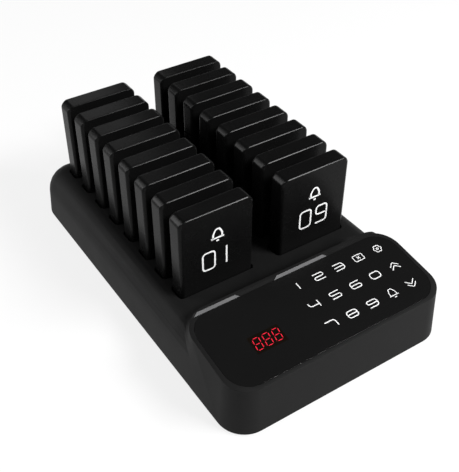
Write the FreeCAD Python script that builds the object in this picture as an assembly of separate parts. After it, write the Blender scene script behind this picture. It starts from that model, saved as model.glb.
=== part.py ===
"""Guest pager system: a charging base with a touch keypad and sixteen lift-out pagers.

Millimetres. +X is the user's right, +Y points to the back, +Z is up. The origin lies under the
middle of the base, on the surface that its rubber feet stand on.
"""
import FreeCAD, Part
import math
import os

from FreeCAD import Vector

# ---------------------------------------------------------------- driving dimensions
# Base
BASE_LENGTH = 294.8
BASE_WIDTH = 177.2
FOOT_HEIGHT = 1.5
DECK_HEIGHT = 39.0
DRAFT_DEG = 3.9
REAR_CORNER_RADIUS = 23.4
FRONT_CORNER_RADIUS = 20.0
SHOULDER_RADIUS_REAR = 20.0
SHOULDER_RADIUS_FRONT = 13.0
HOUSING_WALL = 2.4
CONSOLE_STEP = 0.1            # the console stands this much proud of the tray's walls

# Console, the tilted block that carries the keypad
CONSOLE_TILT_DEG = 7.7
CONSOLE_FRONT_HEIGHT = 39.4   # top of its front edge
CONSOLE_DEPTH = 71.2          # from the base's front to the console's back edge, at the lip
CONSOLE_BACK_RADIUS = 19.0
RAMP_RUN = 18.0               # from the lip down to the deck
LIP_HEIGHT = 1.6              # the lip above the keypad's glass
LIP_WIDTH = 2.6
LIP_SLOPE_DEG = 45.0

# Keypad glass, sensor board and display
GLASS_THICKNESS = 2.0
GLASS_RIM = 2.6
GLASS_CLEARANCE = 0.2
GLASS_LEDGE = 5.0
LEDGE_THICKNESS = 2.2
KEY_COLUMNS = 5
KEY_ROWS = 3
KEY_PITCH_X = 17.4
KEY_PITCH_Y = 18.3
KEYS_FROM_SIDE = 20.0         # right column of keys, in from the base's right side
KEYS_FROM_BACK = 14.8         # back row of keys, in from the console's back edge
SENSOR_MARGIN = 7.0
SENSOR_CLEARANCE = 0.5
SENSOR_THICKNESS = 1.2
DISPLAY_MODULE = (22.5, 14.0, 7.2)
DISPLAY_FROM_SIDE = 44.6      # its middle, in from the base's left side
DISPLAY_FROM_FRONT = 30.9     # and from the base's front

# Pagers
PAGER_ROWS = 8
COLUMN_SPACING = 80.2
FIRST_PAGER_SETBACK = 23.5    # front face of the front pagers, behind the console's back edge
REAR_MARGIN = 23.3            # from the last pagers' backs to the base's rear
PAGER_WIDTH = 57.2
PAGER_THICKNESS = 13.7
PAGER_HEIGHT = 85.7
PAGER_CORNER_RADIUS = 5.5
PAGER_WALL = 1.6
COVER_THICKNESS = 1.9
COVER_EDGE_RADIUS = 0.5
CASE_EDGE_RADIUS = 2.0
COVER_LIP_DEPTH = 1.2
COVER_LIP_WALL = 1.0
FIT_CLEARANCE = 0.1

# Pager electronics
BOARD_THICKNESS = 1.0
BOARD_MARGIN = 1.2            # between the circuit board and the case wall
BOARD_STANDOFF = 4.7          # back wall to circuit board
STANDOFF_RADIUS = 1.6
BATTERY = (30.0, 36.0, 4.4)
MOTOR_RADIUS = 5.0
MOTOR_THICKNESS = 2.7
BUZZER_RADIUS = 5.5
BUZZER_THICKNESS = 2.4
LED_SIZE = (3.5, 1.6, 2.8)
CONTACT_PAD = (5.0, 2.0)
CONTACT_SPACING = 20.0

# Slots and charging
SLOT_LENGTH = 60.4
SLOT_CLEARANCE = 0.6
SLOT_DEPTH = 21.5
SLOT_CORNER_RADIUS = 3.5
WELL_WALL = 1.8
REST_GAP = 0.3                # pager above the well's floor
PIN_RADIUS = 1.0
PIN_HOLE_RADIUS = 1.4
PIN_PROUD = 0.1
PIN_BASE_RADIUS = 1.7
PIN_BASE_HEIGHT = 1.6
CHARGE_BOARD_WIDTH = 36.0
CHARGE_BOARD_DROP = 3.4       # from the wells' undersides
PCB_THICKNESS = 1.6

# Bottom cover, screws and feet
COVER_PLATE = 2.4
COVER_GAP = 0.2
POST_RADIUS = 4.0
STANDOFF_POST_RADIUS = 3.0
SCREW_SHANK_RADIUS = 1.45
SCREW_HOLE_RADIUS = 1.5
SCREW_PASS_RADIUS = 1.7
SCREW_HEAD_RADIUS = 2.8
SCREW_SINK_RADIUS = 3.1
SCREW_HEAD_HEIGHT = 1.5
SCREW_LENGTH = 10.0
PILOT_SPARE = 0.5             # screw hole past the screw's tip
FRONT_POST_INSET = 13.5
REAR_POST_INSET = 14.0
MIDDLE_SCREW_ROWS = (0, 5)    # rows of pagers beside the two middle screws
FOOT_RADIUS = 7.0
FOOT_INSET = 29.0             # clear of the corner screws

# Main board, transmitter and power inlet
MAIN_BOARD = (104.0, 44.0)
MAIN_BOARD_X = -8.0           # its middle
MAIN_BOARD_FROM_FRONT = 35.4
MAIN_BOARD_LIFT = 6.0
BOARD_HOLD = 5.0              # standoffs, in from a board's corners
CHARGE_STANDOFF_ROWS = 3
PROCESSOR = (12.0, 12.0, 1.6)
RELAY = (15.0, 10.0, 11.0)
SOCKET = (22.0, 6.0, 7.0)
SOUNDER_RADIUS = 6.0
SOUNDER_HEIGHT = 8.0
RADIO_BOARD = (24.0, 16.0, 1.0)
RADIO_CAN = (15.0, 12.0, 2.4)
ANTENNA_RADIUS = 2.5
ANTENNA_HEIGHT = 17.0
INLET_BODY = (9.0, 13.0, 11.0)
INLET_BARREL_RADIUS = 4.0
INLET_BORE_RADIUS = 2.8
INLET_BORE_DEPTH = 9.0
INLET_PIN_RADIUS = 1.0
INLET_PIN_SUNK = 1.0          # tip of its centre pin, in from the mouth
INLET_HOLE_CLEARANCE = 0.3
INLET_WALL_GAP = 0.1

# Modelling allowances
LEAST_RADIUS = 1.0            # smallest corner radius of a loft's section
SHOULDER_STEPS = 7            # loft sections round a shoulder
RAMP_STEPS = 6                # and down the ramp
CUT_PAST = 1.0                # how far a cutting solid runs past the face that it opens
EXACT = 1e-6

# ---------------------------------------------------------------- derived places
FRONT_Y = -BASE_LENGTH / 2
REAR_Y = BASE_LENGTH / 2
HALF_WIDTH = BASE_WIDTH / 2
DRAFT = math.tan(math.radians(DRAFT_DEG))
TILT = math.tan(math.radians(CONSOLE_TILT_DEG))
CONSOLE_FRONT_TOP_Y = FRONT_Y + DRAFT * (CONSOLE_FRONT_HEIGHT - FOOT_HEIGHT)
CONSOLE_BACK_Y = FRONT_Y + CONSOLE_DEPTH
RIGHT_KEYS_X = HALF_WIDTH - KEYS_FROM_SIDE
BACK_KEYS_Y = CONSOLE_BACK_Y - KEYS_FROM_BACK
KEYS_EXTENT = ((RIGHT_KEYS_X - (KEY_COLUMNS - 1) * KEY_PITCH_X, BACK_KEYS_Y - (KEY_ROWS - 1) * KEY_PITCH_Y),
               (RIGHT_KEYS_X, BACK_KEYS_Y))
DISPLAY_CENTRE = (DISPLAY_FROM_SIDE - HALF_WIDTH, FRONT_Y + DISPLAY_FROM_FRONT)
MAIN_BOARD_CENTRE = (MAIN_BOARD_X, FRONT_Y + MAIN_BOARD_FROM_FRONT)
FIRST_PAGER_Y = CONSOLE_BACK_Y + FIRST_PAGER_SETBACK
LAST_PAGER_BACK = REAR_Y - REAR_MARGIN
PAGER_PITCH = (LAST_PAGER_BACK - PAGER_THICKNESS - FIRST_PAGER_Y) / (PAGER_ROWS - 1)
WELL_FLOOR = DECK_HEIGHT - SLOT_DEPTH
WELL_UNDERSIDE = WELL_FLOOR - WELL_WALL
PAGER_BOTTOM = WELL_FLOOR + REST_GAP
PLATE_TOP = FOOT_HEIGHT + COVER_PLATE
CHARGE_BOARD_TOP = WELL_UNDERSIDE - CHARGE_BOARD_DROP
PCB_BOTTOM = CHARGE_BOARD_TOP - PCB_THICKNESS
COLUMN_XS = (-COLUMN_SPACING / 2, COLUMN_SPACING / 2)
INLET_Z = PLATE_TOP + INLET_BODY[2] / 2
MAIN_BOARD_BOTTOM = PLATE_TOP + MAIN_BOARD_LIFT
MAIN_BOARD_TOP = MAIN_BOARD_BOTTOM + PCB_THICKNESS
FRONT_POST_X = HALF_WIDTH - FRONT_POST_INSET
REAR_POST_X = HALF_WIDTH - REAR_POST_INSET
SCREW_PLACES = [(-FRONT_POST_X, FRONT_Y + FRONT_POST_INSET), (FRONT_POST_X, FRONT_Y + FRONT_POST_INSET),
                (-REAR_POST_X, REAR_Y - REAR_POST_INSET), (REAR_POST_X, REAR_Y - REAR_POST_INSET)]
SCREW_PLACES += [(0.0, FIRST_PAGER_Y + row * PAGER_PITCH) for row in MIDDLE_SCREW_ROWS]
REACH = BASE_LENGTH + BASE_WIDTH    # past the base on every side, for blocks that cut
FOOT_PLACES = [(side * (HALF_WIDTH - FOOT_INSET), end * (BASE_LENGTH / 2 - FOOT_INSET))
               for end in (-1, 1) for side in (-1, 1)]


def glass_height(y):
    """Height of the keypad glass's top face at a given y."""
    return CONSOLE_FRONT_HEIGHT + TILT * (y - CONSOLE_FRONT_TOP_Y)


# ---------------------------------------------------------------- shape helpers
def rounded_polygon(points, radii):
    """Closed wire in a horizontal plane with a tangent arc at each corner."""
    edges = []
    stops = []
    count = len(points)
    for i, (corner, radius) in enumerate(zip(points, radii)):
        before = (points[i - 1] - corner).normalize()
        after = (points[(i + 1) % count] - corner).normalize()
        half = before.getAngle(after) / 2
        reach = radius / math.tan(half)
        middle = corner + (before + after).normalize() * (radius / math.sin(half) - radius)
        stops.append((corner + before * reach, middle, corner + after * reach))
    for i, (start, middle, end) in enumerate(stops):
        edges.append(Part.Arc(start, middle, end).toShape())
        edges.append(Part.LineSegment(end, stops[(i + 1) % count][0]).toShape())
    return Part.Wire(edges)


def rectangle_corners(x0, x1, y0, y1, z):
    """Corners of a rectangle, counter-clockwise from the front left."""
    return [Vector(x0, y0, z), Vector(x1, y0, z), Vector(x1, y1, z), Vector(x0, y1, z)]


def rounded_box(x0, x1, y0, y1, z0, z1, radius):
    """Upright box with rounded vertical edges."""
    wire = rounded_polygon(rectangle_corners(x0, x1, y0, y1, z0), [radius] * 4)
    return Part.Face(wire).extrude(Vector(0, 0, z1 - z0))


def box(x0, x1, y0, y1, z0, z1):
    """Plain box between two corners."""
    return Part.makeBox(x1 - x0, y1 - y0, z1 - z0, Vector(x0, y0, z0))


def cylinder(x, y, z0, z1, radius):
    """Upright cylinder."""
    return Part.makeCylinder(radius, z1 - z0, Vector(x, y, z0))


def cylinder_along_y(x, z, y0, y1, radius):
    """Cylinder along the Y axis."""
    return Part.makeCylinder(radius, y1 - y0, Vector(x, y0, z), Vector(0, 1, 0))


def on_console(shape):
    """Carry a shape from the flat keypad frame, whose z = 0 is the glass's top, onto the tilt."""
    pivot = Vector(0, CONSOLE_FRONT_TOP_Y, CONSOLE_FRONT_HEIGHT)
    placed = shape.copy()
    placed.translate(Vector(0, 0, CONSOLE_FRONT_HEIGHT))
    placed.rotate(pivot, Vector(1, 0, 0), CONSOLE_TILT_DEG)
    return placed


# ---------------------------------------------------------------- base housing
def shoulder_inset(radius, z, top):
    """How far the tray's wall stands in from its foot at height z, for a given shoulder radius."""
    angle = math.radians(DRAFT_DEG)
    tangent_z = top - radius + radius * math.sin(angle)
    if z <= tangent_z:
        return DRAFT * (z - FOOT_HEIGHT)
    rise = min(1.0, (z - (top - radius)) / radius)
    start = DRAFT * (tangent_z - FOOT_HEIGHT)
    return start + radius * (math.cos(angle) - math.sqrt(1 - rise * rise))


def tray_section(z, wall):
    """Outline of the tray at height z; wall shrinks it to the cavity."""
    top = DECK_HEIGHT - wall
    rear = shoulder_inset(SHOULDER_RADIUS_REAR - wall, z, top)
    front = shoulder_inset(SHOULDER_RADIUS_FRONT - wall, z, top)
    half = HALF_WIDTH - CONSOLE_STEP - wall
    front_y = CONSOLE_BACK_Y - 2 * RAMP_RUN + wall
    rear_y = REAR_Y - wall - rear
    corners = [Vector(-half + front, front_y, z), Vector(half - front, front_y, z),
               Vector(half - rear, rear_y, z), Vector(-half + rear, rear_y, z)]
    radius = max(REAR_CORNER_RADIUS - wall - rear, LEAST_RADIUS)
    return rounded_polygon(corners, [LEAST_RADIUS, LEAST_RADIUS, radius, radius])


def tray_body(wall):
    """The rear block with its rounded shoulders, or its cavity when wall is given."""
    top = DECK_HEIGHT - wall
    radius = SHOULDER_RADIUS_REAR - wall
    start = math.radians(DRAFT_DEG)
    turn = math.pi / 2 - start
    angles = [start + turn * i / SHOULDER_STEPS for i in range(SHOULDER_STEPS + 1)]
    sections = [tray_section(top - radius + radius * math.sin(a), wall) for a in angles]
    lower = Part.makeLoft([tray_section(FOOT_HEIGHT, wall), sections[0]], True, True)
    upper = Part.makeLoft(sections, True, True)
    return lower.fuse(upper)


def console_section(z, back_y, back_radius, wall):
    """Outline of the console at height z."""
    inset = DRAFT * (z - FOOT_HEIGHT) + wall
    half = HALF_WIDTH - inset
    corners = rectangle_corners(-half, half, FRONT_Y + inset, back_y - wall, z)
    front_radius = max(FRONT_CORNER_RADIUS - inset, LEAST_RADIUS)
    return rounded_polygon(corners, [front_radius, front_radius, back_radius, back_radius])


def console_body(wall):
    """The front block with its ramp down to the deck; its top is cut to the tilt."""
    peak = glass_height(CONSOLE_BACK_Y) + LIP_HEIGHT + CUT_PAST
    drop = peak - DECK_HEIGHT
    sections = [console_section(FOOT_HEIGHT, CONSOLE_BACK_Y + RAMP_RUN,
                                CONSOLE_BACK_RADIUS + RAMP_RUN - wall, wall)]
    for i in range(RAMP_STEPS + 1):
        angle = math.pi / 2 * (1 - i / RAMP_STEPS)
        spread = RAMP_RUN * (1 - math.cos(angle))
        z = peak - drop * math.sin(angle)
        radius = CONSOLE_BACK_RADIUS + spread - wall
        sections.append(console_section(z, CONSOLE_BACK_Y + spread, radius, wall))
    return Part.makeLoft(sections, True, True)


def above_console(offset):
    """Everything above a plane parallel to the keypad glass."""
    return on_console(box(-REACH, REACH, -REACH, REACH, offset, offset + REACH))


def glass_outline(inset, z0, z1):
    """Prism on the keypad's tilt, inset from the console's rim."""
    side = HALF_WIDTH - DRAFT * (glass_height(CONSOLE_BACK_Y) - FOOT_HEIGHT) - inset
    front = CONSOLE_FRONT_TOP_Y + inset
    back = CONSOLE_BACK_Y - LIP_WIDTH - inset + GLASS_RIM
    front_radius = FRONT_CORNER_RADIUS - inset
    back_radius = CONSOLE_BACK_RADIUS - inset
    corners = rectangle_corners(-side, side, front, back, z0)
    wire = rounded_polygon(corners, [front_radius, front_radius, back_radius, back_radius])
    return on_console(Part.Face(wire).extrude(Vector(0, 0, z1 - z0)))


def lip_cut():
    """The space above the glass plane in front of the lip's sloping face."""
    foot_y = CONSOLE_BACK_Y - LIP_WIDTH
    lean = REACH / math.tan(math.radians(LIP_SLOPE_DEG))
    profile = [Vector(-REACH, -REACH, 0), Vector(-REACH, foot_y, 0),
               Vector(-REACH, foot_y + lean, REACH), Vector(-REACH, -REACH, REACH)]
    face = Part.Face(Part.makePolygon(profile + profile[:1]))
    return on_console(face.extrude(Vector(2 * REACH, 0, 0)))


def slot_places():
    """Centre x and front y of the pager of each slot: left column, then right, front to back."""
    return [(x, FIRST_PAGER_Y + row * PAGER_PITCH) for x in COLUMN_XS for row in range(PAGER_ROWS)]


def slot_prism(x, y, z0, z1, grow, radius):
    """Upright prism over a slot, grown on all sides."""
    half = SLOT_LENGTH / 2 + grow
    front = y - SLOT_CLEARANCE - grow
    back = y + PAGER_THICKNESS + SLOT_CLEARANCE + grow
    return rounded_box(x - half, x + half, front, back, z0, z1, radius)


def pin_places():
    """Where the charging pins stand."""
    middle = PAGER_THICKNESS / 2
    return [(x + side * CONTACT_SPACING / 2, y + middle) for x, y in slot_places() for side in (-1, 1)]


def upper_housing():
    """Tray and console in one moulding, with sixteen wells, screw posts and the keypad's seat."""
    outer = tray_body(0.0).fuse(console_body(0.0)).cut(above_console(LIP_HEIGHT)).cut(lip_cut())
    roof = GLASS_THICKNESS + LEDGE_THICKNESS
    cavity = console_body(HOUSING_WALL).cut(above_console(-roof))
    shell = outer.cut([tray_body(HOUSING_WALL), cavity])
    inside = DECK_HEIGHT - HOUSING_WALL / 2
    wells = [slot_prism(x, y, WELL_UNDERSIDE, inside, WELL_WALL, SLOT_CORNER_RADIUS + WELL_WALL)
             for x, y in slot_places()]
    posts = [cylinder(x, y, PLATE_TOP, inside, POST_RADIUS) for x, y in SCREW_PLACES]
    carried = Part.makeCompound(wells + posts).common(outer.cut(above_console(-GLASS_THICKNESS)))
    shell = shell.fuse(carried.Solids)
    pockets = [slot_prism(x, y, WELL_FLOOR, DECK_HEIGHT + CUT_PAST, 0.0, SLOT_CORNER_RADIUS)
               for x, y in slot_places()]
    pins = [cylinder(x, y, 0.0, DECK_HEIGHT, PIN_HOLE_RADIUS) for x, y in pin_places()]
    pilot_top = FOOT_HEIGHT + SCREW_HEAD_HEIGHT + SCREW_LENGTH + PILOT_SPARE
    pilots = [cylinder(x, y, 0.0, pilot_top, SCREW_HOLE_RADIUS) for x, y in SCREW_PLACES]
    seat = glass_outline(GLASS_RIM, -GLASS_THICKNESS, LIP_HEIGHT)
    window = glass_outline(GLASS_RIM + GLASS_LEDGE, -2 * roof, LIP_HEIGHT)
    hole_radius = INLET_BARREL_RADIUS + INLET_HOLE_CLEARANCE
    inlet = cylinder_along_y(0.0, INLET_Z, REAR_Y - REAR_POST_INSET, REAR_Y + HOUSING_WALL, hole_radius)
    return shell.cut(pockets + pins + pilots + [seat, window, inlet])


# ---------------------------------------------------------------- what the base holds
def corner_places(x0, x1, y0, y1, inset):
    """Four places inside the corners of a rectangle."""
    return [(x, y) for y in (y0 + inset, y1 - inset) for x in (x0 + inset, x1 - inset)]


def main_board_extent():
    """Left, right, front and back edge of the main board."""
    (x, y), (length, width) = MAIN_BOARD_CENTRE, MAIN_BOARD
    return x - length / 2, x + length / 2, y - width / 2, y + width / 2


def charge_board_extent(x):
    """The same for the charging board of the column at x."""
    half = CHARGE_BOARD_WIDTH / 2
    return x - half, x + half, FIRST_PAGER_Y - BOARD_HOLD, LAST_PAGER_BACK + BOARD_HOLD


def bottom_cover():
    """Flat cover inside the housing's foot, with the posts that carry the boards."""
    inset = HOUSING_WALL + COVER_GAP
    slab = box(-REACH, REACH, -REACH, REACH, FOOT_HEIGHT, PLATE_TOP)
    plate = tray_body(inset).common(slab).fuse(console_body(inset).common(slab)).removeSplitter()
    posts = [cylinder(x, y, PLATE_TOP, MAIN_BOARD_BOTTOM, STANDOFF_POST_RADIUS)
             for x, y in corner_places(*main_board_extent(), BOARD_HOLD)]
    for column_x in COLUMN_XS:
        x0, x1, y0, y1 = charge_board_extent(column_x)
        step = (y1 - y0 - 2 * BOARD_HOLD) / (CHARGE_STANDOFF_ROWS - 1)
        rows = [y0 + BOARD_HOLD + i * step for i in range(CHARGE_STANDOFF_ROWS)]
        posts += [cylinder(x, y, PLATE_TOP, PCB_BOTTOM, STANDOFF_POST_RADIUS)
                  for y in rows for x in (x0 + BOARD_HOLD, x1 - BOARD_HOLD)]
    passes = [cylinder(x, y, 0.0, DECK_HEIGHT, SCREW_PASS_RADIUS) for x, y in SCREW_PLACES]
    sinks = [cylinder(x, y, 0.0, FOOT_HEIGHT + SCREW_HEAD_HEIGHT, SCREW_SINK_RADIUS) for x, y in SCREW_PLACES]
    return plate.fuse(posts).cut(passes + sinks)


def case_screws():
    """Screws from below, through the cover into the housing's posts."""
    seat = FOOT_HEIGHT + SCREW_HEAD_HEIGHT
    return [cylinder(x, y, FOOT_HEIGHT, seat, SCREW_HEAD_RADIUS).fuse(
            cylinder(x, y, seat, seat + SCREW_LENGTH, SCREW_SHANK_RADIUS)) for x, y in SCREW_PLACES]


def rubber_feet():
    """Round pads under the cover."""
    return [cylinder(x, y, 0.0, FOOT_HEIGHT, FOOT_RADIUS) for x, y in FOOT_PLACES]


def touch_panel():
    """Keypad glass in its seat."""
    return glass_outline(GLASS_RIM + GLASS_CLEARANCE, -GLASS_THICKNESS, 0.0)


def touch_sensor_board():
    """Board bonded under the glass in its window, behind all the keys."""
    (x0, y0), (x1, y1) = KEYS_EXTENT
    low = -GLASS_THICKNESS - SENSOR_THICKNESS
    window = glass_outline(GLASS_RIM + GLASS_LEDGE + SENSOR_CLEARANCE, low, -GLASS_THICKNESS)
    keys = box(x0 - SENSOR_MARGIN, x1 + SENSOR_MARGIN, y0 - SENSOR_MARGIN, y1 + SENSOR_MARGIN,
               low - CUT_PAST, CUT_PAST)
    return window.common(on_console(keys))


def display_module():
    """Three-digit module bonded under the glass."""
    (x, y), (length, width, height) = DISPLAY_CENTRE, DISPLAY_MODULE
    return on_console(box(x - length / 2, x + length / 2, y - width / 2, y + width / 2,
                          -GLASS_THICKNESS - height, -GLASS_THICKNESS))


def standing_box(x, y, z, size):
    """Box of a given size, standing on height z with its middle over a place."""
    length, width, height = size
    return box(x - length / 2, x + length / 2, y - width / 2, y + width / 2, z, z + height)


def main_board():
    """Circuit board with its processor, relay, socket and sounder."""
    x0, x1, y0, y1 = main_board_extent()
    x, y = MAIN_BOARD_CENTRE
    quarter = MAIN_BOARD[0] / 4
    top = MAIN_BOARD_TOP
    edge = 2 * SOUNDER_RADIUS
    return [box(x0, x1, y0, y1, MAIN_BOARD_BOTTOM, top), standing_box(x, y, top, PROCESSOR),
            standing_box(x - quarter, y, top, RELAY), standing_box(x, y1 - SOCKET[1], top, SOCKET),
            cylinder(x0 + edge, y0 + edge, top, top + SOUNDER_HEIGHT, SOUNDER_RADIUS)]


def transmitter_module():
    """Radio board on the main board, with its shield can and coiled antenna."""
    x = MAIN_BOARD_CENTRE[0] + MAIN_BOARD[0] / 4
    y = MAIN_BOARD_CENTRE[1]
    top = MAIN_BOARD_TOP + RADIO_BOARD[2]
    side = (RADIO_BOARD[0] - RADIO_CAN[0]) / 2
    can_x = x - side
    antenna_x = x + RADIO_BOARD[0] / 2 - ANTENNA_RADIUS
    return [standing_box(x, y, MAIN_BOARD_TOP, RADIO_BOARD), standing_box(can_x, y, top, RADIO_CAN),
            cylinder(antenna_x, y, top, top + ANTENNA_HEIGHT, ANTENNA_RADIUS)]


def charging_boards():
    """One long board under each column of wells."""
    return [box(*charge_board_extent(x), PCB_BOTTOM, CHARGE_BOARD_TOP) for x in COLUMN_XS]


def charging_pins():
    """Sprung contact pins, two to a well, standing on the charging boards."""
    shoulder = CHARGE_BOARD_TOP + PIN_BASE_HEIGHT
    return [cylinder(x, y, CHARGE_BOARD_TOP, shoulder, PIN_BASE_RADIUS).fuse(
            cylinder(x, y, shoulder, WELL_FLOOR + PIN_PROUD, PIN_RADIUS)) for x, y in pin_places()]


def power_inlet():
    """Round direct-current socket on the cover, its barrel in the rear wall."""
    length, depth, height = INLET_BODY
    wall_foot = REAR_Y - HOUSING_WALL
    back = wall_foot - shoulder_inset(SHOULDER_RADIUS_REAR, PLATE_TOP + height, DECK_HEIGHT) - INLET_WALL_GAP
    mouth = REAR_Y - shoulder_inset(SHOULDER_RADIUS_REAR, INLET_Z, DECK_HEIGHT)
    body = box(-length / 2, length / 2, back - depth, back, PLATE_TOP, PLATE_TOP + height)
    body = body.fuse(cylinder_along_y(0.0, INLET_Z, back, mouth, INLET_BARREL_RADIUS))
    bore = cylinder_along_y(0.0, INLET_Z, mouth - INLET_BORE_DEPTH, mouth + CUT_PAST, INLET_BORE_RADIUS)
    pin = cylinder_along_y(0.0, INLET_Z, mouth - INLET_BORE_DEPTH, mouth - INLET_PIN_SUNK, INLET_PIN_RADIUS)
    return body.cut(bore).fuse(pin)


# ---------------------------------------------------------------- pager, lying on its back
# x runs across it, y up it, and z = 0 is its front face; stood_up() puts it in the base's frame.
def pager_prism(inset, back, front, radius):
    """Rounded plate across the pager between two depths."""
    half = PAGER_WIDTH / 2 - inset
    return rounded_box(-half, half, inset, PAGER_HEIGHT - inset, back, front, radius)


def edges_at(shape, z):
    """Edges of a shape that lie wholly at height z."""
    return [e for e in shape.Edges if all(abs(v.Z - z) < EXACT for v in e.Vertexes)]


def pager_front_cover():
    """Flat printed face with a locating lip."""
    plate = pager_prism(0.0, -COVER_THICKNESS, 0.0, PAGER_CORNER_RADIUS)
    plate = plate.makeFillet(COVER_EDGE_RADIUS, edges_at(plate, 0.0))
    inset = PAGER_WALL + FIT_CLEARANCE
    low = -COVER_THICKNESS - COVER_LIP_DEPTH
    radius = PAGER_CORNER_RADIUS - inset
    ring = pager_prism(inset, low, -COVER_THICKNESS, radius).cut(
        pager_prism(inset + COVER_LIP_WALL, low, -COVER_THICKNESS, radius - COVER_LIP_WALL))
    return plate.fuse(ring)


def contact_places():
    """Across-the-pager places of its two contact pads."""
    return (-CONTACT_SPACING / 2, CONTACT_SPACING / 2)


def contact_block(x, low, high, grow):
    """Block around a contact pad between two heights."""
    length, width = CONTACT_PAD
    middle = -PAGER_THICKNESS / 2
    return box(x - length / 2 - grow, x + length / 2 + grow, low, high, middle - width / 2 - grow,
               middle + width / 2 + grow)


def standoff_places():
    """Where the case carries its circuit board."""
    half = PAGER_WIDTH / 2
    inset = PAGER_WALL + PAGER_CORNER_RADIUS + STANDOFF_RADIUS
    return corner_places(-half, half, 0.0, PAGER_HEIGHT, inset)


def pager_rear_case():
    """Deep rear shell with the board's standoffs and the contact openings."""
    case = pager_prism(0.0, -PAGER_THICKNESS, -COVER_THICKNESS, PAGER_CORNER_RADIUS)
    case = case.makeFillet(CASE_EDGE_RADIUS, edges_at(case, -PAGER_THICKNESS))
    floor = -PAGER_THICKNESS + PAGER_WALL
    cavity = pager_prism(PAGER_WALL, floor, 0.0, PAGER_CORNER_RADIUS - PAGER_WALL)
    standoffs = [cylinder(x, y, floor, floor + BOARD_STANDOFF, STANDOFF_RADIUS) for x, y in standoff_places()]
    openings = [contact_block(x, -CUT_PAST, PAGER_WALL + CUT_PAST, FIT_CLEARANCE) for x in contact_places()]
    return case.cut(cavity).fuse(standoffs).cut(openings)


def pager_electronics():
    """Circuit board with battery, motor, buzzer, lamps and contact pads, as separate solids."""
    back = -PAGER_THICKNESS + PAGER_WALL + BOARD_STANDOFF
    front = back + BOARD_THICKNESS
    inset = PAGER_WALL + BOARD_MARGIN
    board = pager_prism(inset, back, front, PAGER_CORNER_RADIUS - inset)
    middle = PAGER_HEIGHT / 2
    low = middle - BATTERY[1] / 2 - MOTOR_RADIUS - BOARD_MARGIN
    side = PAGER_WIDTH / 4
    pieces = [board, standing_box(0.0, middle, back - BATTERY[2], BATTERY),
              cylinder(side, low, back - MOTOR_THICKNESS, back, MOTOR_RADIUS),
              cylinder(-side, low, front, front + BUZZER_THICKNESS, BUZZER_RADIUS)]
    pieces += [standing_box(x, y, front, LED_SIZE) for x, y in standoff_places()]
    pieces += [contact_block(x, FIT_CLEARANCE, inset, 0.0) for x in contact_places()]
    return pieces


def stood_up(shape, x, y):
    """Stand a lying pager piece up in the well at (x, y)."""
    placed = shape.copy()
    placed.rotate(Vector(0, 0, 0), Vector(1, 0, 0), 90)
    placed.translate(Vector(x, y, PAGER_BOTTOM))
    return placed


# ---------------------------------------------------------------- output
def write(node, pieces):
    """Write one node's STEP file, from one solid or a list of separate solids."""
    solids = pieces if isinstance(pieces, list) else [pieces]
    shape = solids[0] if len(solids) == 1 else Part.makeCompound(solids)
    shape.exportStep(os.path.join("parts", node + ".step"))
    print(f"{node}: {len(shape.Solids)} solids, {shape.Volume / 1000:.2f} cm3, {len(shape.Faces)} faces")


def main():
    """Build every node."""
    os.makedirs("parts", exist_ok=True)
    base = {"upper_housing": upper_housing, "bottom_cover": bottom_cover, "case_screws": case_screws,
            "rubber_feet": rubber_feet, "touch_panel": touch_panel, "touch_sensor_board": touch_sensor_board,
            "display_module": display_module, "main_board": main_board,
            "transmitter_module": transmitter_module, "charging_boards": charging_boards,
            "charging_pins": charging_pins, "power_inlet": power_inlet}
    for node, build in base.items():
        write(node, build())
    pager = {"front_cover": [pager_front_cover()], "rear_case": [pager_rear_case()],
             "electronics": pager_electronics()}
    for number, (x, y) in enumerate(slot_places(), start=1):
        for piece, shapes in pager.items():
            write(f"pager_{number:02d}_{piece}", [stood_up(shape, x, y) for shape in shapes])


if __name__ == "__main__":
    main()
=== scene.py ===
"""Guest pager system: finishes, printed marks, lit display and a plain studio round the assembly."""
import logging
import math
from dataclasses import dataclass
from enum import Enum
from functools import lru_cache
from typing import Any, Callable, Sequence

import bmesh
import bpy
from bpy.types import ID, Material, Mesh, Node, NodeSocket, NodeTree, Object
from mathutils import Matrix, Vector


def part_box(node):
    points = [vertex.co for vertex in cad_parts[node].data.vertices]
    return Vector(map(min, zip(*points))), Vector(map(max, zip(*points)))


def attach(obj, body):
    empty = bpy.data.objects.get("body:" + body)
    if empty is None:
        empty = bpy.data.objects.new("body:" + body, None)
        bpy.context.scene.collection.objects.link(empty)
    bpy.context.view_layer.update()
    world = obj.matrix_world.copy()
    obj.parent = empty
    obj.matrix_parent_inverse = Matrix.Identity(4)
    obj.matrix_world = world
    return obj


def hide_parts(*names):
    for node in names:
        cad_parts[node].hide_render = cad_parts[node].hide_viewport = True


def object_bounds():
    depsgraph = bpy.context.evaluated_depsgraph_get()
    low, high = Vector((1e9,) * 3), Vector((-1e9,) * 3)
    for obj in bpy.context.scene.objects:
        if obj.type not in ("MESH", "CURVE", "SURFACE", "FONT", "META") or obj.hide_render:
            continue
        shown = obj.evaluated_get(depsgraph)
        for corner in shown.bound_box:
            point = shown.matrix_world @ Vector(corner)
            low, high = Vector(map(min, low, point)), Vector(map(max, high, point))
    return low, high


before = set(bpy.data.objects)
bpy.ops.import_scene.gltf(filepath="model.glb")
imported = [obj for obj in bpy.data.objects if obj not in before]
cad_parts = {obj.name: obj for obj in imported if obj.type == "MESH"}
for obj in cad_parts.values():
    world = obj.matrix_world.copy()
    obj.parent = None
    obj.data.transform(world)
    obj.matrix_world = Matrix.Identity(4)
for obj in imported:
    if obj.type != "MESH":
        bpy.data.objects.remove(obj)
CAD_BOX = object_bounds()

LOG = logging.getLogger("guest_pager_system")
MM = 0.001
PAGERS = 16
PRINT_LIFT = 0.02 * MM           # printed ink above the face that it lies on
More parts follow.
